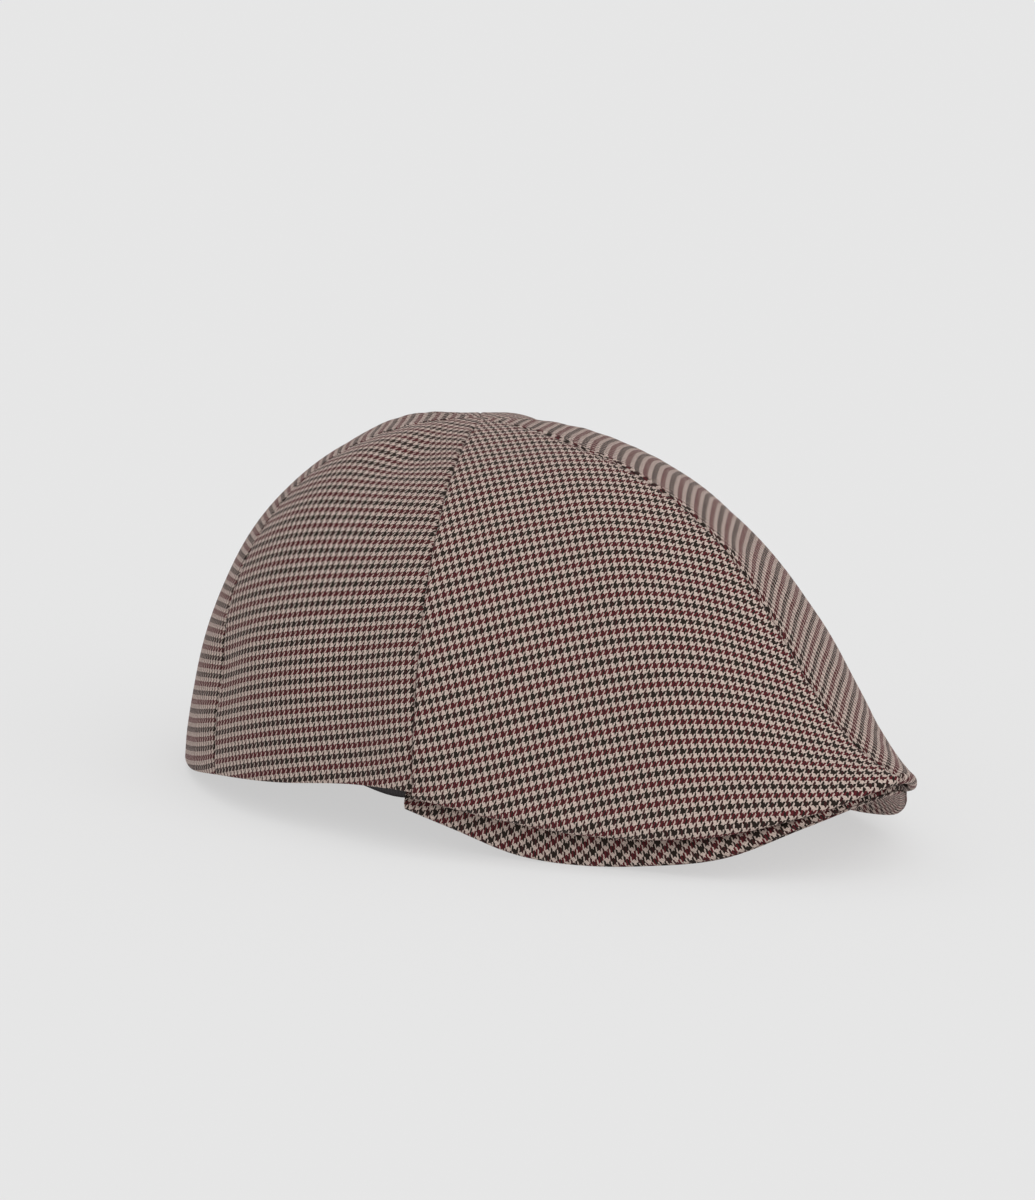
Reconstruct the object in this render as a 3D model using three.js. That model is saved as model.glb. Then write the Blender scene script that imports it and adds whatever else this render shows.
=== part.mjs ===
// Houndstooth duckbill cap: six crown panels, a bill in two cloth covers and a sweatband.
// Millimetres, +Z up, the bill points along -Y and the wearer's right side is -X.
// The cap stands by itself on its back rim and on the two sides of its bill.
import * as THREE from 'three';

// Driving sizes, in millimetres
const CLOTH = 1.5; // wall of every cloth piece
const GAP = 0.3; // clearance between neighbouring pieces
const CROWN_HEIGHT = 111.5; // apex of the crown above the floor
const PANEL_POINT = 1.0; // how near the apex a panel's point comes
const TUCK = 1.2; // least length of cloth turned in behind the rolled front edge
const SEAT = 1.5; // height that the turned-in cloth keeps above the bill
const SEAT_CLEARANCE = 0.6; // level clearance of the turned-in cloth from the bill
const HEAD_HALF_WIDTH = 83; // head opening, outside the sweatband
const HEAD_HALF_LENGTH = 99.5;
const BAND_HEIGHT = 28;
const BAND_CLEARANCE = 0.8; // from the sweatband to the crown's wall, measured level
const BILL_ROOT_CLEARANCE = 1.8; // from the sweatband to the root of the bill

// Places round the crown are turns in degrees from the centre front
const SIDE_SEAM = 56;
const BACK_SEAM_AT_APEX = 142;
const BACK_SEAM_AT_RIM = 114;
const CENTRE_BACK = 180;
const BILL_END = 58;

// Facets
const PANEL_COLUMNS = { front: 18, side: 12, back: 10 };
const WALL_ROWS = 16;
const ROLL_ROWS = 5;
const BILL_COLUMNS = 40;
const BILL_ROWS = 7;
const BAND_COLUMNS = 72;
const BAND_ROWS = 3;

// Crown sections: reach of the lower edge from the apex axis, its height, the flat of the top as a
// share of the reach, the rise of the wall, its lean outwards and the radius of the roll at the front
const CROWN_NAMES = ['turn', 'reach', 'edge', 'top', 'rise', 'lean', 'roll'];
const CROWN_SECTIONS = [
  [0, 174, 31.3, 0.77, 56, -80, 1.7],
  [8, 159.5, 24, 0.67, 61, -51, 2.2],
  [16, 143, 17, 0.58, 66, -28, 2.8],
  [28, 122.5, 15, 0.69, 46, -20, 3.2],
  [42, 107.8, 17, 0.66, 47, -11, 3.0],
  [56, 98.5, 19, 0.59, 51, -3, 2.2],
  [70, 88, 17, 0.57, 56, 0, 1.7],
  [90, 85, 12.5, 0.56, 62, 0, 1.7],
  [112, 86, 8, 0.58, 74, -3, 1.7],
  [135, 90.5, 2, 0.54, 76, -2, 1.7],
  [158, 98.8, 0, 0.49, 86, -11, 1.7],
  [180, 101.5, 0, 0.51, 106, -20, 1.7],
];

// Bill sections: reach and height of the outer edge, height of the root at the head opening and how far
// the section arches out of a straight line
const BILL_NAMES = ['turn', 'edgeReach', 'edgeHeight', 'rootHeight', 'arch'];
const BILL_SECTIONS = [
  [0, 169.5, 25.8, 35, 0],
  [7.5, 157.5, 17.2, 34, 2],
  [15, 142.5, 6.8, 33, 5],
  [22, 123, 1.6, 30, 7],
  [30, 109, 0, 26.5, 8],
  [38, 101.5, 1.6, 23, 5],
  [48, 95.3, 7.2, 18.5, 2],
  [60, 91, 13.2, 15, 0.3],
];

// Lower edge of the sweatband
const BAND_NAMES = ['turn', 'bottom'];
const BAND_SECTIONS = [
  [0, 32],
  [30, 22],
  [60, 13.5],
  [74, 14],
  [90, 12],
  [112, 8.5],
  [135, 3],
  [158, 1],
  [180, 1],
];

// Shallow hollows pressed into the crown, alike on both sides: place, spread and depth
const HOLLOWS = [
  { turn: 84, along: 0.25, turnSpread: 18, alongSpread: 0.09, depth: 2 },
  { turn: 115, along: 0.85, turnSpread: 9, alongSpread: 0.07, depth: 1.5 },
];
const HOLLOW_CENTRE = 40; // height on the apex axis that the hollows are pressed towards

// Steps for slopes of a surface, in degrees of turn and as a share of a section
const TURN_STEP = 2;
const ALONG_STEP = 0.02;
const HALVINGS = 30; // of a section, when a height is looked for on it

const cloth = () => new THREE.MeshStandardMaterial({ color: '#836f6a', roughness: 0.92, metalness: 0 });
const bandCloth = () => new THREE.MeshStandardMaterial({ color: '#2b2629', roughness: 0.85, metalness: 0 });

// A table's columns as smooth curves over the turn, alike on both sides of the centre line
function readTable(columns, rows, endingStart, endingEnd) {
  const turns = rows.map((row) => row[0]);
  const values = rows.flatMap((row) => row.slice(1));
  const names = columns.slice(1);
  const curve = new THREE.CubicInterpolant(turns, values, names.length);
  curve.settings = { endingStart, endingEnd };
  return (turn) => {
    const read = curve.evaluate(Math.abs(turn));
    return Object.fromEntries(names.map((name, index) => [name, read[index]]));
  };
}

const crownAt = readTable(CROWN_NAMES, CROWN_SECTIONS, THREE.ZeroSlopeEnding, THREE.ZeroSlopeEnding);
const billAt = readTable(BILL_NAMES, BILL_SECTIONS, THREE.ZeroSlopeEnding, THREE.ZeroCurvatureEnding);
const bandAt = readTable(BAND_NAMES, BAND_SECTIONS, THREE.ZeroSlopeEnding, THREE.ZeroSlopeEnding);

// A point given by its turn, its reach from the apex axis and its height
function place(turn, reach, height) {
  const angle = THREE.MathUtils.degToRad(turn);
  return new THREE.Vector3(-reach * Math.sin(angle), -reach * Math.cos(angle), Math.max(height, 0));
}

// Upward or outward unit normal of a surface at (turn, along)
function normalOf(surface, turn, along) {
  const across = surface(turn + TURN_STEP, along).sub(surface(turn - TURN_STEP, along));
  const down = surface(turn, along + ALONG_STEP).sub(surface(turn, along - ALONG_STEP));
  return across.cross(down).normalize();
}

// Reach of the head opening, an ellipse round the apex axis
function headReach(turn) {
  const angle = THREE.MathUtils.degToRad(turn);
  return 1 / Math.hypot(Math.sin(angle) / HEAD_HALF_WIDTH, Math.cos(angle) / HEAD_HALF_LENGTH);
}

// Where a value that falls along a section first drops to a height
function alongAtHeight(heightAt, height) {
  let low = 0;
  let high = 1;
  for (let step = 0; step < HALVINGS; step += 1) {
    const middle = (low + high) / 2;
    if (heightAt(middle) > height) low = middle;
    else high = middle;
  }
  return (low + high) / 2;
}

// Bill: the middle surface between its two covers, from the edge (0) to the root (1)
function billSection(turn) {
  const row = billAt(turn);
  const edge = new THREE.Vector2(row.edgeReach, row.edgeHeight);
  const root = new THREE.Vector2(headReach(turn) + BILL_ROOT_CLEARANCE, row.rootHeight);
  const chord = root.clone().sub(edge).normalize();
  const outward = new THREE.Vector2(chord.y, -chord.x);
  const shoulder = edge.clone().add(root).multiplyScalar(0.5).addScaledVector(outward, row.arch);
  return new THREE.QuadraticBezierCurve(edge, shoulder, root);
}

function billMiddle(turn, along) {
  const point = billSection(turn).getPoint(along);
  return place(turn, point.x, point.y);
}

// A layer of the bill, its distance measured outwards from the middle surface
function billLayer(turn, along, distance) {
  const inside = THREE.MathUtils.clamp(along, ALONG_STEP, 1 - ALONG_STEP);
  const normal = normalOf((a, b) => billMiddle(a, -b), turn, -inside);
  const point = billMiddle(turn, along).addScaledVector(normal, distance);
  point.z = Math.max(point.z, 0);
  return point;
}

const BILL_TOP = GAP / 2 + CLOTH;

// Reach at which the bill's upper face stands at a height, seen along one turn
function billTopReach(turn, height) {
  const along = alongAtHeight((share) => billLayer(turn, 1 - share, BILL_TOP).z, height);
  const point = billLayer(turn, 1 - along, BILL_TOP);
  return Math.hypot(point.x, point.y);
}

// Crown: the outer face, along 0 at the apex to 1 at the lower edge, to 2 round the front roll
// and to 3 along the cloth that is turned in onto the bill
function wallCurve(turn) {
  const row = crownAt(turn);
  const lean = THREE.MathUtils.degToRad(row.lean);
  return new THREE.CubicBezierCurve(
    new THREE.Vector2(0, CROWN_HEIGHT),
    new THREE.Vector2(row.top * row.reach, CROWN_HEIGHT),
    new THREE.Vector2(row.reach + row.rise * Math.sin(lean), row.edge + row.rise * Math.cos(lean)),
    new THREE.Vector2(row.reach, row.edge),
  );
}

function rollCurve(turn) {
  const row = crownAt(turn);
  const lean = THREE.MathUtils.degToRad(row.lean);
  const centreReach = row.reach - row.roll * Math.cos(lean);
  const centreHeight = row.edge + row.roll * Math.sin(lean);
  return new THREE.EllipseCurve(centreReach, centreHeight, row.roll, row.roll, -lean, -Math.PI / 2, true);
}

function tuckCurve(turn) {
  const start = rollCurve(turn).getPoint(1);
  const seat = billTopReach(turn, start.y - SEAT) + SEAT_CLEARANCE;
  return new THREE.LineCurve(start, new THREE.Vector2(Math.min(seat, start.x - TUCK), start.y));
}

function hollowDepth(turn, along) {
  const depths = HOLLOWS.map((hollow) => {
    const away = (Math.abs(turn) - hollow.turn) / hollow.turnSpread;
    const below = (along - hollow.along) / hollow.alongSpread;
    return hollow.depth * Math.exp(-away * away - below * below);
  });
  return depths.reduce((sum, depth) => sum + depth, 0);
}

function crownFace(turn, along) {
  const curves = [wallCurve, rollCurve, tuckCurve];
  const index = Math.min(Math.floor(along), curves.length - 1);
  const point = curves[index](turn).getPoint(along - index);
  const inward = new THREE.Vector2(0, HOLLOW_CENTRE).sub(point).normalize();
  point.addScaledVector(inward, hollowDepth(turn, along));
  return place(turn, point.x, point.y);
}

function crownInside(turn, along, rimAlong) {
  const inside = THREE.MathUtils.clamp(along, ALONG_STEP, rimAlong - ALONG_STEP);
  const normal = normalOf(crownFace, turn, inside);
  if (along === 1 && rimAlong === 1) normal.setZ(0).normalize();
  return crownFace(turn, along).addScaledVector(normal, -CLOTH);
}

// A closed shell from an outer and an inner grid of points, open ended or a ring
function shell(name, material, columns, rows, outer, inner, ring) {
  const positions = [];
  const width = ring ? columns : columns + 1;
  for (const layer of [outer, inner]) {
    for (let column = 0; column < width; column += 1) {
      for (let row = 0; row <= rows; row += 1) positions.push(...layer(column / columns, row / rows));
    }
  }
  const layerSize = width * (rows + 1);
  const at = (layer, column, row) => layer * layerSize + (column % width) * (rows + 1) + row;
  const triangles = [];
  const quad = (a, b, c, d) => triangles.push(a, c, b, a, d, c);
  for (let column = 0; column < columns; column += 1) {
    const next = column + 1;
    for (let row = 0; row < rows; row += 1) {
      quad(at(0, column, row), at(0, column, row + 1), at(0, next, row + 1), at(0, next, row));
      quad(at(1, column, row), at(1, next, row), at(1, next, row + 1), at(1, column, row + 1));
    }
    quad(at(0, column, 0), at(0, next, 0), at(1, next, 0), at(1, column, 0));
    quad(at(0, column, rows), at(1, column, rows), at(1, next, rows), at(0, next, rows));
  }
  for (let row = 0; row < rows && !ring; row += 1) {
    quad(at(0, 0, row), at(1, 0, row), at(1, 0, row + 1), at(0, 0, row + 1));
    quad(at(0, columns, row), at(0, columns, row + 1), at(1, columns, row + 1), at(1, columns, row));
  }
  const geometry = new THREE.BufferGeometry();
  geometry.setAttribute('position', new THREE.Float32BufferAttribute(positions, 3));
  geometry.setIndex(triangles);
  geometry.computeVertexNormals();
  const mesh = new THREE.Mesh(geometry, material);
  mesh.name = name;
  return mesh;
}

// Seams of one half of the crown, as turns that may change from the apex to the rim
const seams = {
  front: () => 0,
  side: () => SIDE_SEAM,
  back: (along) => THREE.MathUtils.lerp(BACK_SEAM_AT_APEX, BACK_SEAM_AT_RIM, Math.min(along, 1)),
  rear: () => CENTRE_BACK,
};

// A crown panel between two seams, side -1 for the wearer's left and 1 for the right
function crownPanel(name, side, firstSeam, lastSeam, columns, rolled) {
  const rimAlong = rolled ? 3 : 1;
  const rows = rolled ? WALL_ROWS + ROLL_ROWS + 1 : WALL_ROWS;
  const alongAt = (turn, share) => {
    const row = Math.round(share * rows);
    const point = crownAt(turn);
    const start = PANEL_POINT / (3 * point.top * point.reach);
    if (row <= WALL_ROWS) return THREE.MathUtils.lerp(start, 1, row / WALL_ROWS);
    if (row <= WALL_ROWS + ROLL_ROWS) return 1 + (row - WALL_ROWS) / ROLL_ROWS;
    return rimAlong;
  };
  const turnAt = (across, down) => {
    const nominal = THREE.MathUtils.lerp(seams[firstSeam](down), seams[lastSeam](down), across);
    const along = alongAt(nominal, down);
    const reach = Math.hypot(crownFace(nominal, along).x, crownFace(nominal, along).y);
    const half = THREE.MathUtils.radToDeg(Math.asin(GAP / 2 / reach));
    return THREE.MathUtils.lerp(seams[firstSeam](along) + half, seams[lastSeam](along) - half, across);
  };
  const face = (across, down) => {
    const turn = turnAt(across, down);
    return crownFace(side * turn, alongAt(turn, down));
  };
  const inside = (across, down) => {
    const turn = turnAt(across, down);
    return crownInside(side * turn, alongAt(turn, down), rimAlong);
  };
  const [outer, inner] = side > 0 ? [face, inside] : [(a, d) => face(1 - a, d), (a, d) => inside(1 - a, d)];
  return shell(name, cloth(), columns, rows, outer, inner, false);
}

// A cover of the bill between two distances from its middle surface
function billCover(name, upper, lower) {
  const turnAt = (across) => THREE.MathUtils.lerp(-BILL_END, BILL_END, across);
  const layer = (distance) => (across, down) => billLayer(turnAt(across), 1 - down, distance);
  return shell(name, cloth(), BILL_COLUMNS, BILL_ROWS, layer(upper), layer(lower), false);
}

// The sweatband stands inside the crown's wall, or on the head opening where that is narrower
function bandReach(turn, height) {
  const along = alongAtHeight((share) => crownFace(turn, share).z, height);
  const wall = crownFace(turn, along);
  return Math.min(headReach(turn), Math.hypot(wall.x, wall.y) - CLOTH - BAND_CLEARANCE);
}

function sweatband() {
  const layer = (depth) => (across, down) => {
    const turn = THREE.MathUtils.lerp(-CENTRE_BACK, CENTRE_BACK, across);
    const height = bandAt(turn).bottom + BAND_HEIGHT * (1 - down);
    return place(turn, bandReach(turn, height) - depth, height);
  };
  return shell('sweatband', bandCloth(), BAND_COLUMNS, BAND_ROWS, layer(0), layer(CLOTH), true);
}

const cap = new THREE.Group();
for (const [sideName, side] of [['right', 1], ['left', -1]]) {
  cap.add(crownPanel(`crown_panel_front_${sideName}`, side, 'front', 'side', PANEL_COLUMNS.front, true));
  cap.add(crownPanel(`crown_panel_side_${sideName}`, side, 'side', 'back', PANEL_COLUMNS.side, false));
  cap.add(crownPanel(`crown_panel_back_${sideName}`, side, 'back', 'rear', PANEL_COLUMNS.back, false));
}
cap.add(billCover('bill_top_cover', BILL_TOP, GAP / 2));
cap.add(billCover('bill_under_cover', -GAP / 2, -BILL_TOP));
cap.add(sweatband());

// The origin is the middle of the cap's footprint, on the floor
const box = new THREE.Box3().setFromObject(cap);
const middle = box.getCenter(new THREE.Vector3());
cap.position.set(-middle.x, -middle.y, -box.min.z);

export default cap;
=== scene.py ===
import bpy
import numpy as np
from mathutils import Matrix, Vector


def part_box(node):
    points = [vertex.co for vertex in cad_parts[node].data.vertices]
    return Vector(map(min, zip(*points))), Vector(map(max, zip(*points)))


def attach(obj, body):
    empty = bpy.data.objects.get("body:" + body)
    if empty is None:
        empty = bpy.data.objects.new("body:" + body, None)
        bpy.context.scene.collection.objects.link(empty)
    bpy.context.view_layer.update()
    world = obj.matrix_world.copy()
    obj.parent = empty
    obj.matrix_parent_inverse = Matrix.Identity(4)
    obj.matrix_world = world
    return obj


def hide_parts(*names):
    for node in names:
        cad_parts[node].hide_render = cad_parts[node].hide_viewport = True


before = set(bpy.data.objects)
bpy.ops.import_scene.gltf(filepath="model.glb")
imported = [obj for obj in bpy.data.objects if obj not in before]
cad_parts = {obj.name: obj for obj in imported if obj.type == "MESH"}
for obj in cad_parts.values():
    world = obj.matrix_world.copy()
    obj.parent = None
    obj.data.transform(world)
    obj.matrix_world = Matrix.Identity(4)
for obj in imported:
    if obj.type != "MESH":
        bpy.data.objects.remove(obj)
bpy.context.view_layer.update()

# Crown of the cap: six panels of worsted cloth cut on the straight grain and sewn edge to edge.
# The two front panels roll under and are caught down on the bill; the side and back panels end in
# a folded hem. Sizes are in millimetres round the apex axis, turns in degrees from the centre front.
MM = 0.001
CLOTH = 1.5
GAP = 0.3
CROWN_HEIGHT = 111.5
PANEL_POINT = 0.25
TUCK = 1.2
SEAT = 1.5
SEAT_CLEARANCE = 0.6
BACK_REACH = 101.5
APEX_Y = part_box("crown_panel_back_right")[1][1] / MM - BACK_REACH
CROWN_SECTIONS = [  # turn, reach, edge, top, rise, lean, roll
    (0, 171.5, 31.5, 0.78, 56, -78, 1.7),
    (8, 159.5, 24, 0.67, 61, -51, 2.2),
    (16, 143, 17, 0.58, 66, -28, 2.8),
    (28, 122.5, 15, 0.69, 46, -20, 3.2),
    (42, 107.8, 17, 0.66, 47, -11, 3.0),
    (56, 98.5, 19, 0.59, 51, -3, 2.2),
    (70, 88, 17, 0.57, 56, 0, 1.7),
    (90, 85, 12.5, 0.56, 62, 0, 1.7),
    (112, 86, 8, 0.58, 74, -3, 1.7),
    (135, 90.5, 2, 0.54, 76, -2, 1.7),
    (158, 98.8, 0, 0.49, 86, -11, 1.7),
    (180, BACK_REACH, 0, 0.51, 106, -20, 1.7),
]
HOLLOWS = [  # turn, along, turn spread, along spread, depth
    (84, 0.25, 18, 0.09, 2),
    (115, 0.85, 9, 0.07, 1.5),
]
HOLLOW_CENTRE = 40
SIDE_SEAM = 56
BACK_SEAM_AT_APEX = 142
BACK_SEAM_AT_RIM = 114
TURN_STEP = 2
ALONG_STEP = 0.02
HALVINGS = 30
LAID_ROWS = 44
LAID_COLUMNS = 30

# The bill carries the rolled front, so its sections are needed here as well as for its own covers.
HEAD_HALF_WIDTH = 83
HEAD_HALF_LENGTH = 99.5
BILL_ROOT_CLEARANCE = 1.8
BILL_SECTIONS = [  # turn, edge reach, edge height, root height, arch
    (0, 169.5, 25.8, 35, 0),
    (7.5, 157.5, 17.2, 34, 2),
    (15, 142.5, 6.8, 33, 5),
    (22, 123, 1.6, 30, 7),
    (30, 109, 0, 26.5, 8),
    (38, 101.5, 1.6, 23, 5),
    (48, 95.3, 7.2, 18.5, 2),
    (60, 91, 13.2, 15, 0.3),
]


def read_sections(rows, turn, level_start, level_end):
    """The columns of a table of sections as smooth curves over the turn, alike on both sides."""
    table = np.array(rows, float)
    knots = table[:, 0]
    values = table[:, 1:]
    steps = np.diff(knots)
    slopes = np.diff(values, axis=0) / steps[:, None]
    tangents = np.vstack([slopes[:1], (slopes[:-1] + slopes[1:]) / 2, slopes[-1:]])
    tangents[0] *= not level_start
    tangents[-1] *= not level_end
    turn = np.clip(np.abs(turn), knots[0], knots[-1])
    at = np.clip(np.searchsorted(knots, turn, side="right") - 1, 0, len(steps) - 1)
    step = steps[at][..., None]
    t = (turn - knots[at])[..., None] / step
    from_start = (1 + 2 * t) * values[at] + t * step * tangents[at]
    from_end = (3 - 2 * t) * values[at + 1] - (1 - t) * step * tangents[at + 1]
    return np.moveaxis((1 - t) ** 2 * from_start + t**2 * from_end, -1, 0)


def bezier(values, t):
    """The Bezier curve of any number of control values."""
    while len(values) > 1:
        values = [a + (b - a) * t for a, b in zip(values, values[1:])]
    return values[0]


def place(turn, reach, height):
    """Points given by their turn, their reach from the apex axis and their height."""
    angle = np.radians(turn)
    return np.stack([-reach * np.sin(angle), -reach * np.cos(angle), np.maximum(height, 0)], axis=-1)


def normal_of(surface, turn, along):
    """Outward unit normals of a surface."""
    across = surface(turn + TURN_STEP, along) - surface(turn - TURN_STEP, along)
    down = surface(turn, along + ALONG_STEP) - surface(turn, along - ALONG_STEP)
    normal = np.cross(across, down)
    return normal / np.linalg.norm(normal, axis=-1, keepdims=True)


def head_reach(turn):
    """Reach of the head opening, an ellipse round the apex axis."""
    angle = np.radians(turn)
    return 1 / np.hypot(np.sin(angle) / HEAD_HALF_WIDTH, np.cos(angle) / HEAD_HALF_LENGTH)


def bill_middle(turn, along):
    """Middle surface between the bill's covers, from its outer edge (0) to its root (1)."""
    edge_reach, edge_height, root_height, arch = read_sections(BILL_SECTIONS, turn, True, False)
    root_reach = head_reach(turn) + BILL_ROOT_CLEARANCE
    chord = np.hypot(root_reach - edge_reach, root_height - edge_height)
    shoulder_reach = (edge_reach + root_reach) / 2 + arch * (root_height - edge_height) / chord
    shoulder_height = (edge_height + root_height) / 2 - arch * (root_reach - edge_reach) / chord
    reach = bezier([edge_reach, shoulder_reach, root_reach], along)
    return place(turn, reach, bezier([edge_height, shoulder_height, root_height], along))


def bill_layer(turn, along, distance):
    """A layer of the bill at a distance outwards from its middle surface."""
    inside = np.clip(along, ALONG_STEP, 1 - ALONG_STEP)
    normal = -normal_of(bill_middle, turn, inside)
    points = bill_middle(turn, along) + normal * np.asarray(distance)[..., None]
    points[..., 2] = np.maximum(points[..., 2], 0)
    return points


def bill_top_reach(turn, height):
    """Reach at which the bill's upper face stands at a height."""
    low = np.zeros_like(turn)
    high = np.ones_like(turn)
    for _ in range(HALVINGS):
        middle = (low + high) / 2
        above = bill_layer(turn, middle, GAP / 2 + CLOTH + 0 * turn)[..., 2] > height
        high = np.where(above, middle, high)
        low = np.where(above, low, middle)
    point = bill_layer(turn, low, GAP / 2 + CLOTH + 0 * turn)
    return np.hypot(point[..., 0], point[..., 1])


def crown_face(turn, along):
    """Outer face of the crown.

    Along is 0 at the apex, 1 at the lower edge, 2 round the front roll and 3 on the bill.
    """
    reach, edge, top, rise, lean, roll = read_sections(CROWN_SECTIONS, turn, True, True)
    lean = np.radians(lean)
    apex = CROWN_HEIGHT + 0 * edge
    on_wall = np.clip(along, 0, 1)
    out = bezier([0 * reach, top * reach, reach + rise * np.sin(lean), reach], on_wall)
    up = bezier([apex, apex, edge + rise * np.cos(lean), edge], on_wall)
    if np.max(along) > 1:
        angle = -lean - np.clip(along - 1, 0, 1) * (np.pi / 2 - lean)
        roll_out = reach + roll * (np.cos(angle) - np.cos(lean))
        roll_up = edge + roll * (np.sin(angle) + np.sin(lean))
        low_out = reach - roll * np.cos(lean)
        low_up = edge - roll * (1 - np.sin(lean))
        seat = np.minimum(bill_top_reach(turn, low_up - SEAT) + SEAT_CLEARANCE, low_out - TUCK)
        roll_out = roll_out + np.clip(along - 2, 0, 1) * (seat - low_out)
        out = np.where(along > 1, roll_out, out)
        up = np.where(along > 1, roll_up, up)
    inward = np.hypot(out, HOLLOW_CENTRE - up)
    for at_turn, at_along, turn_spread, along_spread, depth in HOLLOWS:
        away = (np.abs(turn) - at_turn) / turn_spread
        below = (along - at_along) / along_spread
        press = depth * np.exp(-(away**2) - below**2) / inward
        out, up = out - press * out, up + press * (HOLLOW_CENTRE - up)
    return place(turn, out, up)


def to_frame(points):
    """Millimetres round the apex axis as metres in the cap's own frame."""
    return (points + [0, APEX_Y, 0]) * MM


def grid_faces(rows, columns, start=0):
    """Quads of a grid of points stored row by row."""
    at = start + np.arange(rows * columns).reshape(rows, columns)
    corners = [at[:-1, :-1], at[:-1, 1:], at[1:, 1:], at[1:, :-1]]
    return np.stack(corners, axis=-1).reshape(-1, 4)


def run_length(points):
    """Distance travelled along a line of points."""
    return np.cumsum(np.linalg.norm(np.diff(points, axis=0, prepend=points[:1]), axis=-1))


def spread(values, known, wanted):
    """Values known at some places along a line, read at the wanted places."""
    at = np.clip(np.searchsorted(known, wanted) - 1, 0, len(known) - 2)
    share = (wanted - known[at]) / (known[at + 1] - known[at])
    share = share.reshape(-1, *[1] * (values.ndim - 1))
    return values[at] * (1 - share) + values[at + 1] * share


def cut_cloth(points, grain):
    """Lays a grid of points out flat as the cloth was cut, in metres.

    The middle column comes out turned from the straight grain by that many degrees.
    """
    downs = run_length(points[:, points.shape[1] // 2])
    overs = run_length(points[points.shape[0] // 2])
    row_picks = np.unique(np.searchsorted(downs, np.linspace(0, downs[-1], LAID_ROWS)))
    column_picks = np.unique(np.searchsorted(overs, np.linspace(0, overs[-1], LAID_COLUMNS)))
    points = points[np.ix_(row_picks, column_picks)]
    rows, columns = points.shape[:2]
    mesh = bpy.data.meshes.new("pattern")
    mesh.from_pydata(points.reshape(-1, 3).tolist(), [], grid_faces(rows, columns).tolist())
    mesh.uv_layers.new(name="flat")
    pattern = bpy.data.objects.new("pattern", mesh)
    bpy.context.scene.collection.objects.link(pattern)
    bpy.context.view_layer.objects.active = pattern
    bpy.ops.object.mode_set(mode="EDIT")
    bpy.ops.mesh.select_all(action="SELECT")
    bpy.ops.uv.unwrap(method="MINIMUM_STRETCH", margin=0)
    bpy.ops.object.mode_set(mode="OBJECT")
    corners = np.empty(len(mesh.loops), int)
    mesh.loops.foreach_get("vertex_index", corners)
    laid = np.empty(2 * len(corners))
    mesh.uv_layers["flat"].data.foreach_get("uv", laid)
    flat = np.empty((rows * columns, 2))
    flat[corners] = laid.reshape(-1, 2)
    flat = flat.reshape(rows, columns, 2)
    bpy.data.meshes.remove(mesh)
    real = np.linalg.norm(np.diff(points, axis=0), axis=-1).sum()
    flat = flat * real / np.linalg.norm(np.diff(flat, axis=0), axis=-1).sum()
    flat = flat - flat[rows // 2, columns // 2]
    down = flat[-1, columns // 2] - flat[0, columns // 2]
    turned = np.radians(-90 + grain) - np.arctan2(down[1], down[0])
    turn_x = np.array([np.cos(turned), np.sin(turned)])
    turn_y = np.array([-np.sin(turned), np.cos(turned)])
    flat = flat[..., :1] * turn_x + flat[..., 1:] * turn_y
    flat = spread(flat, downs[row_picks], downs)
    return spread(flat.swapaxes(0, 1), overs[column_picks], overs).swapaxes(0, 1)


def sewn_shell(name, outer, inner, flat, seam):
    """A closed cloth piece from its outer and inner faces, with its cut and its nearness to a seam."""
    rows, columns = outer.shape[:2]
    count = rows * columns
    at = np.arange(count).reshape(rows, columns)
    border = np.concatenate([at[0, :-1], at[:-1, -1], at[-1, :0:-1], at[:0:-1, 0]])
    after = np.roll(border, -1)
    edge = np.stack([after, border, border + count, after + count], axis=-1)
    inside = grid_faces(rows, columns, count)[:, ::-1]
    faces = np.concatenate([grid_faces(rows, columns), edge, inside])
    points = np.concatenate([outer.reshape(-1, 3), inner.reshape(-1, 3)])
    mesh = bpy.data.meshes.new(name)
    mesh.from_pydata(to_frame(points).tolist(), [], faces.tolist())
    mesh.shade_smooth()
    cut = np.tile(flat.reshape(-1, 2), (2, 1))[faces.ravel()]
    mesh.uv_layers.new(name="cut").data.foreach_set("uv", cut.ravel())
    near = np.tile(seam.ravel(), 2)
    mesh.attributes.new("seam", "FLOAT", "POINT").data.foreach_set("value", near)
    piece = bpy.data.objects.new(name, mesh)
    bpy.context.scene.collection.objects.link(piece)
    return piece


class Shade:
    """A socket of a material; sums on it add the nodes that work them out."""

    def __init__(self, tree, socket):
        self.tree = tree
        self.socket = socket

    def node(self, kind, settings, inputs, output=0):
        node = self.tree.nodes.new(kind)
        for key, value in settings.items():
            setattr(node, key, value)
        for key, value in inputs.items():
            if isinstance(value, Shade):
                self.tree.links.new(value.socket, node.inputs[key])
            else:
                node.inputs[key].default_value = value
        return Shade(self.tree, node.outputs[output])

    def math(self, operation, *values):
        return self.node("ShaderNodeMath", {"operation": operation}, dict(enumerate(values)))

    def __add__(self, other):
        return self.math("ADD", self, other)

    __radd__ = __add__

    def __sub__(self, other):
        return self.math("SUBTRACT", self, other)

    def __rsub__(self, other):
        return self.math("SUBTRACT", other, self)

    def __mul__(self, other):
        return self.math("MULTIPLY", self, other)

    __rmul__ = __mul__

    def __truediv__(self, other):
        return self.math("DIVIDE", self, other)

    def __mod__(self, other):
        return self.math("FLOORED_MODULO", self, other)

    def __lt__(self, other):
        return self.math("LESS_THAN", self, other)

    def between(self, low, high):
        """One of two colours, or a blend of them, by this value."""
        # The mix node keeps its two colours in inputs 6 and 7, and gives their blend in output 2.
        settings = {"data_type": "RGBA"}
        return self.node("ShaderNodeMix", settings, {"Factor": self, 6: low, 7: high}, output=2)


SCREEN_GAMMA = 2.2


def dye(red, green, blue):
    """A colour given as it shows on a screen, 0 to 255, as the light that it returns."""
    return (*((np.array([red, green, blue]) / 255) ** SCREEN_GAMMA), 1)


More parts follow.
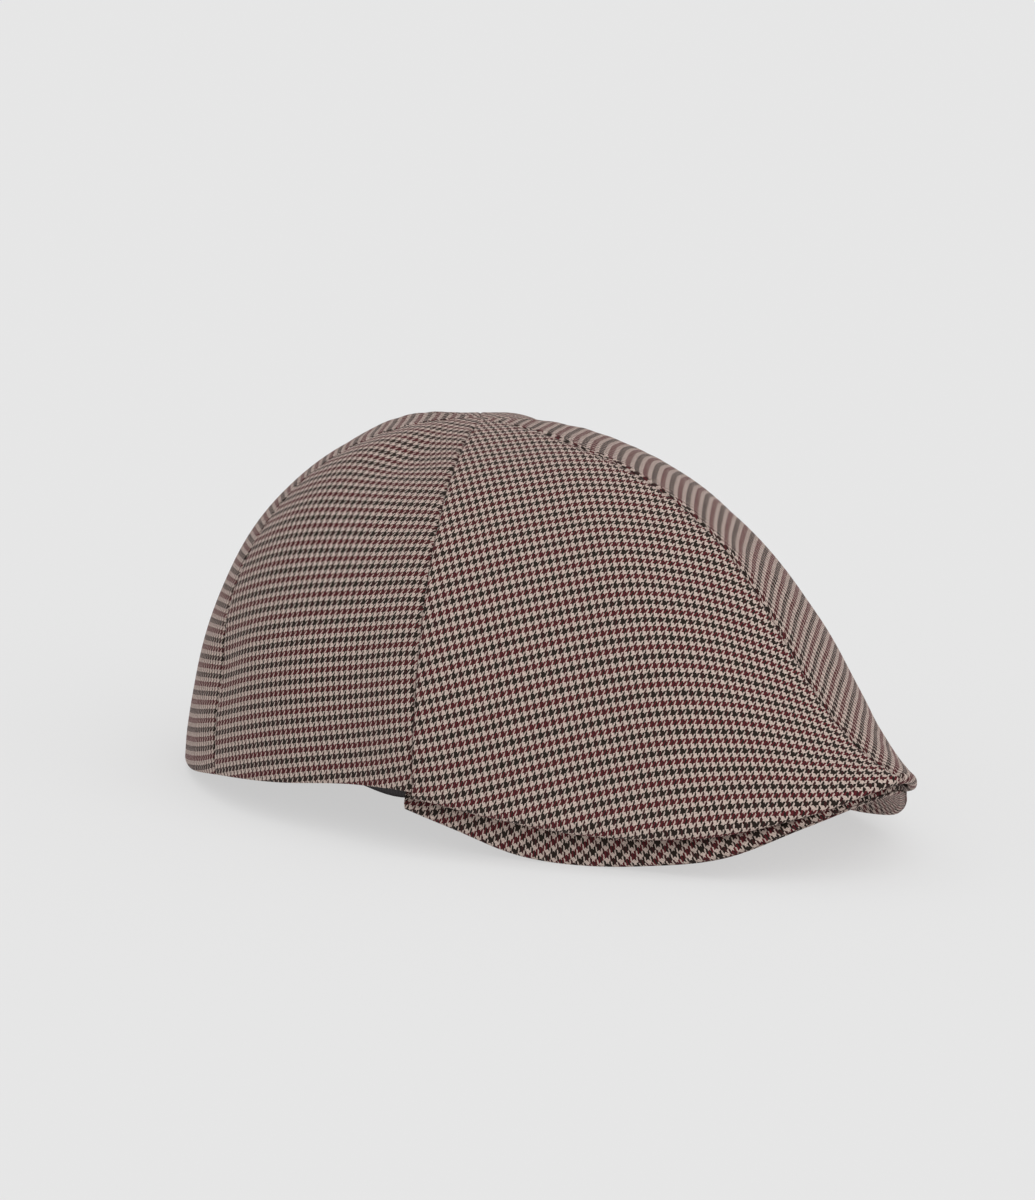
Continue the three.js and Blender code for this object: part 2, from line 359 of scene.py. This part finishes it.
def new_material(name):
    """An empty material, its shader and a Shade to start sums from."""
    material = bpy.data.materials.new(name)
    material.use_nodes = True
    tree = material.node_tree
    shader = tree.nodes["Principled BSDF"]
    return material, shader, Shade(tree, shader.outputs[0])


# Houndstooth: a two-and-two twill of four dark and four cream threads both ways. Every second dark
# stripe of the weft is burgundy, and of the warp a deeper burgundy. The dark yarns are fuller and
# spread over the cream ones. Thread spacings are in metres of cut cloth.
END_SPACING = 0.271 * MM
PICK_SPACING = 0.356 * MM
STRIPE = 4
TWILL = 2
FULLNESS = 0.4
STRAY_SCALE = 900
WARP_STRAY = 0.9
WEFT_STRAY = 0.7
FIBRE_SCALE = 2600
NAP_SCALE = 700
CREAM = dye(220, 201, 190)
CREAM_SHADED = dye(118, 98, 89)
CREAM_BY_RIDGE = 1.5
CREAM_BY_FIBRE = 0.9
CREAM_LOSS = 0.2
BLACK = dye(33, 29, 23)
BURGUNDY = dye(90, 28, 35)
WARP_BURGUNDY = dye(58, 28, 29)
DARK_FIBRE = dye(66, 50, 46)
DARK_FIBRE_SHARE = 0.3
# Seam darkening: partly the seam's own darker thread line, partly painted shade in the seam's groove.
SEAM_THREAD_AND_SHADE_TONE = dye(30, 24, 24)
SEAM_THREAD_AND_SHADE_SHARE = 0.2
THREAD_RELIEF = 0.06 * MM
CLOTH_ROUGHNESS = 0.82
NAP_ROUGHNESS = 0.14
SHEEN_TONE = dye(235, 205, 205)


def houndstooth_cloth():
    material, shader, start = new_material("houndstooth_cloth")
    cut = start.node("ShaderNodeUVMap", {"uv_map": "cut"}, {})
    cut_across = cut.node("ShaderNodeSeparateXYZ", {}, {0: cut})
    cut_along = cut.node("ShaderNodeSeparateXYZ", {}, {0: cut}, output=1)

    def noise(scale, detail, offset):
        place = cut.node("ShaderNodeVectorMath", {"operation": "ADD"}, {0: cut, 1: (offset, 0, 0)})
        inputs = {"Vector": place, "Scale": scale, "Detail": detail}
        return cut.node("ShaderNodeTexNoise", {"noise_dimensions": "2D"}, inputs)

    across = cut_across / END_SPACING + WARP_STRAY * (noise(STRAY_SCALE, 1, 0.3) - 0.5)
    along = cut_along / PICK_SPACING + WEFT_STRAY * (noise(STRAY_SCALE, 1, 0.7) - 0.5)
    diagonal = (across - along) % (2 * TWILL)
    warp_over = diagonal < TWILL
    warp_dark = (across % (2 * STRIPE)) < STRIPE + FULLNESS
    weft_dark = (along % (2 * STRIPE)) < STRIPE + FULLNESS
    warp_shows = warp_dark * (diagonal < TWILL + FULLNESS)
    weft_shows = weft_dark * (1 - (diagonal < TWILL - FULLNESS))
    dark = warp_shows.math("MAXIMUM", warp_shows, weft_shows)
    weft_dye = ((along % (4 * STRIPE)) < 2 * STRIPE).between(BURGUNDY, BLACK)
    warp_dye = ((across % (4 * STRIPE)) < 2 * STRIPE).between(WARP_BURGUNDY, BLACK)
    from_warp = warp_shows * (1 - weft_shows * (1 - warp_over))
    warp_ridge = across.math("PINGPONG", across, 0.5)
    weft_ridge = along.math("PINGPONG", along, 0.5)
    ridge = warp_over * warp_ridge + (1 - warp_over) * weft_ridge
    fibre = noise(FIBRE_SCALE, 1, 0)
    # Painted shade: the cream threads darken towards CREAM_SHADED in the grooves between threads,
    # where shade falls, and vary at random with the fibre.
    lit = CREAM_BY_RIDGE * ridge + CREAM_BY_FIBRE * fibre - CREAM_LOSS
    cream = lit.between(CREAM_SHADED, CREAM)
    dark_dye = (DARK_FIBRE_SHARE * fibre).between(from_warp.between(weft_dye, warp_dye), DARK_FIBRE)
    colour = dark.between(cream, dark_dye)
    seam = cut.node("ShaderNodeAttribute", {"attribute_name": "seam"}, {}, output=2)
    # Near a seam the colour darkens towards the seam tone: partly the seam's darker thread line,
    # partly painted shade in the groove.
    colour = (SEAM_THREAD_AND_SHADE_SHARE * seam).between(colour, SEAM_THREAD_AND_SHADE_TONE)
    nap = noise(NAP_SCALE, 2, 0.1)
    relief = {"Strength": 0.6, "Distance": THREAD_RELIEF, "Height": ridge + nap}
    bump = ridge.node("ShaderNodeBump", {}, relief)
    tree = start.tree
    tree.links.new(colour.socket, shader.inputs["Base Color"])
    tree.links.new((CLOTH_ROUGHNESS + NAP_ROUGHNESS * nap).socket, shader.inputs["Roughness"])
    tree.links.new(bump.socket, shader.inputs["Normal"])
    shader.inputs["Specular IOR Level"].default_value = 0.2
    shader.inputs["Sheen Weight"].default_value = 0.1
    shader.inputs["Sheen Roughness"].default_value = 0.45
    shader.inputs["Sheen Tint"].default_value = SHEEN_TONE
    return material


houndstooth = houndstooth_cloth()

# A seam pulls the cloth's edge down in a small round dip, with faint puckers beside it. The front
# panels' rows of weave bow down towards the centre-front seam.
POINT_TURN = 30.0
WALL_CROWDING = 0.9
ROLL_ROWS = 12
TUCK_STEPS = [2.33, 2.67, 3]
SEAM_GAP = 0.02
SEAM_STEPS = np.array([0, 0.1, 0.25, 0.5, 0.85, 1.3])
SEAM_DIP = 0.7
SEAM_EASE = 14
SEAM_WIDTH = 0.9
HEM_STEPS = np.array([0.75, 0.4, 0.2, 0.07, 0])
HEM_SAMPLE = 0.02
HEM_FADE = 8
PUCKER = 0.16
PUCKER_REACH = 5
PUCKER_LENGTH = 7.5
PUCKER_DRIFT = 1.5
PUCKER_DRIFT_LENGTH = 11
SLACK = 0.35
SLACK_WAVES = [(61, 0.0), (43, 1.7), (29, 4.1)]  # length, phase
SLACK_ACROSS = np.array([1, 0.4, 0])
SLACK_UPRIGHT = np.array([0, 0.5, 0.9])
BOW = 2.75e-4
BOW_POWER = 2.5
BOW_START = 25


def round_off(distance, radius):
    """How far an edge of that radius has dropped at a distance from it."""
    share = 1 - np.clip(distance / radius, 0, 1)
    return 1 - np.sqrt(1 - share**2)


def slack(points):
    """Gentle unevenness of cloth that stands under its own weight."""
    total = np.zeros(points.shape[:-1])
    for length, phase in SLACK_WAVES:
        wave = 2 * np.pi / length
        across = np.sin(wave * (points @ SLACK_ACROSS) + phase)
        upright = np.sin(wave * (points @ SLACK_UPRIGHT) + 2 * phase)
        total += across * upright / len(SLACK_WAVES)
    return SLACK * total


def back_seam(along):
    """Turn of the seam between a side panel and a back panel."""
    return BACK_SEAM_AT_APEX + (BACK_SEAM_AT_RIM - BACK_SEAM_AT_APEX) * np.minimum(along, 1)


def crown_panel(name, side, first_seam, last_seam, columns, wall_rows, rolled, grain):
    """A crown panel between two seams; side is 1 on the wearer's right and -1 on the left."""
    reach, _, top, *_ = read_sections(CROWN_SECTIONS, np.array(POINT_TURN), True, True)
    # A cubic curve leaves its start at three times the way to its second control point.
    start = PANEL_POINT / (3 * top * reach)
    wall = start + (1 - start) * np.linspace(0, 1, wall_rows) ** WALL_CROWDING
    if rolled:
        along = np.concatenate([wall, np.linspace(1, 2, ROLL_ROWS)[1:], TUCK_STEPS])
    else:
        middle_turn = (first_seam(1) + last_seam(1)) / 2
        ring = crown_face(np.full(2, middle_turn), np.array([1 - HEM_SAMPLE, 1]))
        hem = HEM_STEPS / np.linalg.norm(ring[1] - ring[0]) * HEM_SAMPLE
        along = np.concatenate([wall[:-1], 1 - hem])
    along = along[:, None]
    first = first_seam(along)
    last = last_seam(along)
    ends = crown_face((first + last) / 2, along)
    width = np.hypot(ends[..., 0], ends[..., 1]) * np.radians(last - first)
    ease = np.minimum(width / SEAM_EASE, 1)
    steps = ease * SEAM_STEPS / width
    margin = SEAM_GAP / width
    between = np.linspace(0, 1, columns)[None, 1:-1]
    middle = steps[:, -1:] + (1 - 2 * steps[:, -1:]) * between
    share = np.concatenate([steps, middle, 1 - steps[:, ::-1]], axis=1)
    distance = np.minimum(share, 1 - share) * width
    share = margin + (1 - 2 * margin) * share
    if side < 0:
        share = 1 - share
    turn = side * (first + (last - first) * share)
    along = along + 0 * turn
    rim = 3 if rolled else 1
    base = crown_face(turn, along)
    normal = normal_of(crown_face, turn, np.clip(along, ALONG_STEP, rim - ALONG_STEP))
    flat = cut_cloth(to_frame(base), grain * side)
    if rolled:
        to_front = np.maximum(BOW_START + side * flat[..., 0] / MM, 0)
        flat[..., 1] += BOW * to_front**BOW_POWER * MM
    dip = ease * SEAM_DIP * round_off(distance, ease * SEAM_STEPS[-1])
    travel = np.cumsum(np.linalg.norm(np.diff(base, axis=0, prepend=base[:1]), axis=-1), axis=0)
    drift = PUCKER_DRIFT * np.sin(travel / PUCKER_DRIFT_LENGTH)
    ripple = np.sin(2 * np.pi * travel / PUCKER_LENGTH + drift)
    lift = slack(base) + ease * PUCKER * ripple * np.exp(-distance / PUCKER_REACH)
    inset = 0 * distance
    if not rolled:
        to_rim = (travel[-1:] - travel) * ease
        inset = CLOTH / 2 * round_off(to_rim, HEM_STEPS[0])
        lift = lift * np.clip(to_rim / HEM_FADE, 0, 1)
    else:
        lift = lift * np.clip(2 - along, 0, 1)
    outer = base + normal * (lift - np.maximum(dip, inset))[..., None]
    inner = base + normal * (lift - CLOTH + inset)[..., None]
    for face in (outer, inner):
        face[..., 2] = np.maximum(face[..., 2], 0)
    seam = np.exp(-((distance / SEAM_WIDTH) ** 2)) * ease
    piece = sewn_shell(name, outer, inner, flat, seam)
    piece.data.materials.append(houndstooth)
    return piece


PANELS = [  # place, seams, columns, wall rows, rolled, grain
    ("front", lambda along: 0 * along, lambda along: SIDE_SEAM + 0 * along, 76, 130, True, 0),
    ("side", lambda along: SIDE_SEAM + 0 * along, back_seam, 56, 110, False, -8),
    ("back", back_seam, lambda along: 180 + 0 * along, 56, 110, False, -12),
]
for panel, first_seam, last_seam, columns, wall_rows, rolled, grain in PANELS:
    for side_name, side in (("right", 1), ("left", -1)):
        name = f"{panel}_panel_{side_name}_cloth"
        piece = crown_panel(name, side, first_seam, last_seam, columns, wall_rows, rolled, grain)
        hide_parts(f"crown_panel_{panel}_{side_name}")
        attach(piece, "root")

# Bill: two pieces of the same cloth cut at a slant to the grain, sewn face to face along the outer
# edge and turned out, so the edge is a round fold with the seam in its middle. The root is sewn to
# the crown.
BILL_END = 58
BILL_TURNS = np.linspace(-BILL_END, BILL_END, 181)
BILL_ROWS = 36
BILL_NOSE = 1.5
NOSE_ROWS = 7
BILL_SLANT = -20
BILL_SEAM_WIDTH = 0.5


def bill_cover(name, node, facing):
    """A cover of the bill; facing is 1 for the upper cover and -1 for the lower."""
    nose = BILL_NOSE * (1 - np.cos(np.linspace(0, np.pi / 2, NOSE_ROWS)))
    edge = bill_middle(BILL_TURNS, 0 * BILL_TURNS)
    root = bill_middle(BILL_TURNS, 0 * BILL_TURNS + 1)
    length = np.linalg.norm(root - edge, axis=-1)
    nose_share = nose[:, None] / length
    rest = nose_share[-1:] + (1 - nose_share[-1:]) * np.linspace(0, 1, BILL_ROWS)[1:, None]
    along = np.concatenate([nose_share, rest])[::-1]
    turn = BILL_TURNS + 0 * along
    drop = CLOTH * round_off(along * length, BILL_NOSE)
    outer = bill_layer(turn, along, facing * (GAP / 2 + CLOTH - drop))
    inner = bill_layer(turn, along, facing * GAP / 2 + 0 * turn)
    if facing < 0:
        outer = outer[:, ::-1]
        inner = inner[:, ::-1]
    flat = cut_cloth(to_frame(outer), BILL_SLANT)
    seam = np.exp(-((along * length / BILL_SEAM_WIDTH) ** 2))
    piece = sewn_shell(name, outer, inner, flat, seam)
    piece.data.materials.append(houndstooth)
    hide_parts(node)
    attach(piece, "root")


bill_cover("bill_upper_cloth", "bill_top_cover", 1)
bill_cover("bill_lower_cloth", "bill_under_cover", -1)

# Sweatband: a dark ribbed tape sewn round the inside of the head opening, its lower edge just inside
# the rim, where a short strip of it shows at the temple.
BAND_HEIGHT = 28
BAND_CLEARANCE = 0.8
BAND_SECTIONS = [  # turn, bottom
    (0, 32),
    (30, 22),
    (60, 14),
    (74, 17.5),
    (90, 14.5),
    (112, 10),
    (135, 4),
    (158, 2),
    (180, 2),
]
BAND_TURNS = np.linspace(-180, 180, 241)
BAND_ROWS = 22
RIB_SPACING = 0.9 * MM
RIB_RELIEF = 0.12 * MM
TAPE_FIBRE_SCALE = 1500
TAPE_LOW = dye(30, 26, 28)
TAPE_HIGH = dye(58, 52, 54)
TAPE_FIBRE_SHARE = 0.5
TAPE_FIBRE_RELIEF = 0.3
TAPE_ROUGHNESS = 0.7
TAPE_FIBRE_ROUGHNESS = 0.2


def band_reach(turn, height):
    """The band stands inside the crown's wall, or on the head opening where that is narrower."""
    low = np.zeros_like(turn)
    high = np.ones_like(turn)
    for _ in range(HALVINGS):
        middle = (low + high) / 2
        above = crown_face(turn, middle)[..., 2] > height
        low = np.where(above, middle, low)
        high = np.where(above, high, middle)
    wall = crown_face(turn, low)
    return np.minimum(head_reach(turn), np.hypot(wall[..., 0], wall[..., 1]) - CLOTH - BAND_CLEARANCE)


def ribbed_tape():
    material, shader, start = new_material("sweatband_cloth")
    cut = start.node("ShaderNodeUVMap", {"uv_map": "cut"}, {})
    cut_across = cut.node("ShaderNodeSeparateXYZ", {}, {0: cut})
    rib = cut_across.math("PINGPONG", cut_across / RIB_SPACING, 0.5)
    inputs = {"Vector": cut, "Scale": TAPE_FIBRE_SCALE, "Detail": 2}
    fibre = cut.node("ShaderNodeTexNoise", {"noise_dimensions": "2D"}, inputs)
    # Painted shade: the tape's colour runs from TAPE_LOW between the ribs to TAPE_HIGH on their
    # crests, with random fibre tone mixed in.
    colour = (TAPE_FIBRE_SHARE * fibre + rib).between(TAPE_LOW, TAPE_HIGH)
    height = rib + TAPE_FIBRE_RELIEF * fibre
    relief = {"Strength": 0.7, "Distance": RIB_RELIEF, "Height": height}
    bump = rib.node("ShaderNodeBump", {}, relief)
    roughness = TAPE_ROUGHNESS + TAPE_FIBRE_ROUGHNESS * fibre
    tree = start.tree
    tree.links.new(colour.socket, shader.inputs["Base Color"])
    tree.links.new(roughness.socket, shader.inputs["Roughness"])
    tree.links.new(bump.socket, shader.inputs["Normal"])
    shader.inputs["Sheen Weight"].default_value = 0.2
    return material


def sweatband():
    share = np.linspace(0, 1, BAND_ROWS)[:, None]
    turn = BAND_TURNS + 0 * share
    (bottom,) = read_sections(BAND_SECTIONS, turn, True, True)
    height = bottom + BAND_HEIGHT * (1 - share)
    reach = band_reach(turn, height)
    to_edge = np.minimum(share, 1 - share) * BAND_HEIGHT
    inset = CLOTH / 2 * round_off(to_edge, CLOTH / 2)
    outer = place(turn, reach - inset, height)
    inner = place(turn, reach - CLOTH + inset, height)
    travel = np.radians(BAND_TURNS) * HEAD_HALF_WIDTH * MM
    flat = np.stack([travel + 0 * share, -height * MM], axis=-1)
    piece = sewn_shell("sweatband_tape", outer, inner, flat, 0 * turn)
    piece.data.materials.append(ribbed_tape())
    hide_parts("sweatband")
    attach(piece, "root")


sweatband()

# Studio: a plain pale floor that runs out of sight and glows a little, so that shadows stay faint,
# an even sky and one broad soft sun from above in front.
FLOOR_HALF = 6.0
FLOOR_TONE = dye(138, 138, 138)
FLOOR_GLOW = 0.55
SKY = 0.62
SUN = 1.35
SUN_TURN = (42, 0, -14)
SUN_SPREAD = 70

floor_mesh = bpy.data.meshes.new("floor")
corners = [(-1, -1, 0), (1, -1, 0), (1, 1, 0), (-1, 1, 0)]
floor_mesh.from_pydata((np.array(corners) * FLOOR_HALF).tolist(), [], [(0, 1, 2, 3)])
floor = bpy.data.objects.new("floor", floor_mesh)
bpy.context.scene.collection.objects.link(floor)
floor_material, floor_shader, _ = new_material("floor")
floor_shader.inputs["Base Color"].default_value = FLOOR_TONE
floor_shader.inputs["Roughness"].default_value = 1
floor_shader.inputs["Emission Color"].default_value = (1, 1, 1, 1)
floor_shader.inputs["Emission Strength"].default_value = FLOOR_GLOW
floor_shader.inputs["Specular IOR Level"].default_value = 0
floor_mesh.materials.append(floor_material)

world = bpy.data.worlds.new("sky")
world.use_nodes = True
world.node_tree.nodes["Background"].inputs["Color"].default_value = (1, 1, 1, 1)
world.node_tree.nodes["Background"].inputs["Strength"].default_value = SKY
bpy.context.scene.world = world
sun_light = bpy.data.lights.new("sun", "SUN")
sun_light.energy = SUN
sun_light.angle = np.radians(SUN_SPREAD)
sun = bpy.data.objects.new("sun", sun_light)
sun.rotation_euler = np.radians(SUN_TURN)
bpy.context.scene.collection.objects.link(sun)
bpy.context.scene.view_settings.view_transform = "Standard"

# Camera: a long lens at the photograph's angle, off the wearer's right front and a little above.
VIEW_TURN = 44
VIEW_RISE = 12.5
VIEW_DISTANCE = 1800
VIEW_TARGET = (0, -15.3, 57.4)
SENSOR = 36
FRAME_HEIGHT = 1200
PIXELS_PER_MM = 3.3

toward = np.array([
    -np.sin(np.radians(VIEW_TURN)) * np.cos(np.radians(VIEW_RISE)),
    -np.cos(np.radians(VIEW_TURN)) * np.cos(np.radians(VIEW_RISE)),
    np.sin(np.radians(VIEW_RISE)),
])
lens = bpy.data.cameras.new("camera")
lens.sensor_fit = "VERTICAL"
lens.sensor_height = SENSOR
lens.lens = SENSOR * PIXELS_PER_MM * VIEW_DISTANCE / FRAME_HEIGHT
camera = bpy.data.objects.new("camera", lens)
camera.location = to_frame(np.array(VIEW_TARGET) + VIEW_DISTANCE * toward)
camera.rotation_euler = np.radians((90 - VIEW_RISE, 0, -VIEW_TURN))
bpy.context.scene.collection.objects.link(camera)
bpy.context.scene.camera = camera

bpy.context.view_layer.update()
